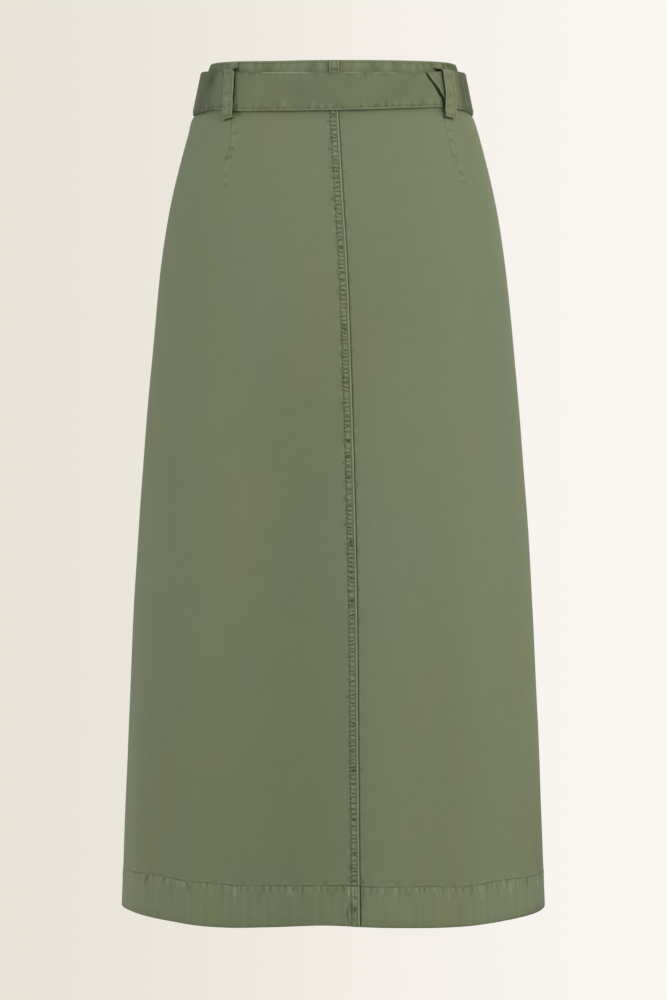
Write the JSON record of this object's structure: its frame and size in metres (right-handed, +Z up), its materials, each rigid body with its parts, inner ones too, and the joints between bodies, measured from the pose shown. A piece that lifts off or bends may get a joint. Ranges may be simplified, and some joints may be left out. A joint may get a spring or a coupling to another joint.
{
  "type": "belted utility skirt",
  "caption": "Hollow A-line midi skirt in washed cotton twill with a contoured waistband, belt loops and its own slide-buckle belt, open at the waist and the hem.",
  "frame": {"origin": "centre of the waist opening, level with the middle of the waistband, where the wearer's waist holds the skirt up", "axes": "+Z up along the wearer's body, +Y towards the wearer's front, +X towards the wearer's right, so the skirt's back faces -Y"},
  "size_m": [0.4162, 0.2847, 0.824],
  "materials": {
    "skirt_twill": "washed sage green cotton twill, matt",
    "belt_twill": "washed sage green cotton twill, doubled, matt",
    "buckle_metal": "dull antique brass"
  },
  "bodies": {
    "root": {"back_left": "skirt_twill", "back_right": "skirt_twill", "front_left": "skirt_twill", "front_right": "skirt_twill", "waistband": "skirt_twill", "loop_back_left": "skirt_twill", "loop_back_centre": "skirt_twill", "loop_back_right": "skirt_twill", "loop_front_left": "skirt_twill", "loop_front_right": "skirt_twill", "belt": "belt_twill", "belt_buckle": "buckle_metal"}
  },
  "joints": []
}
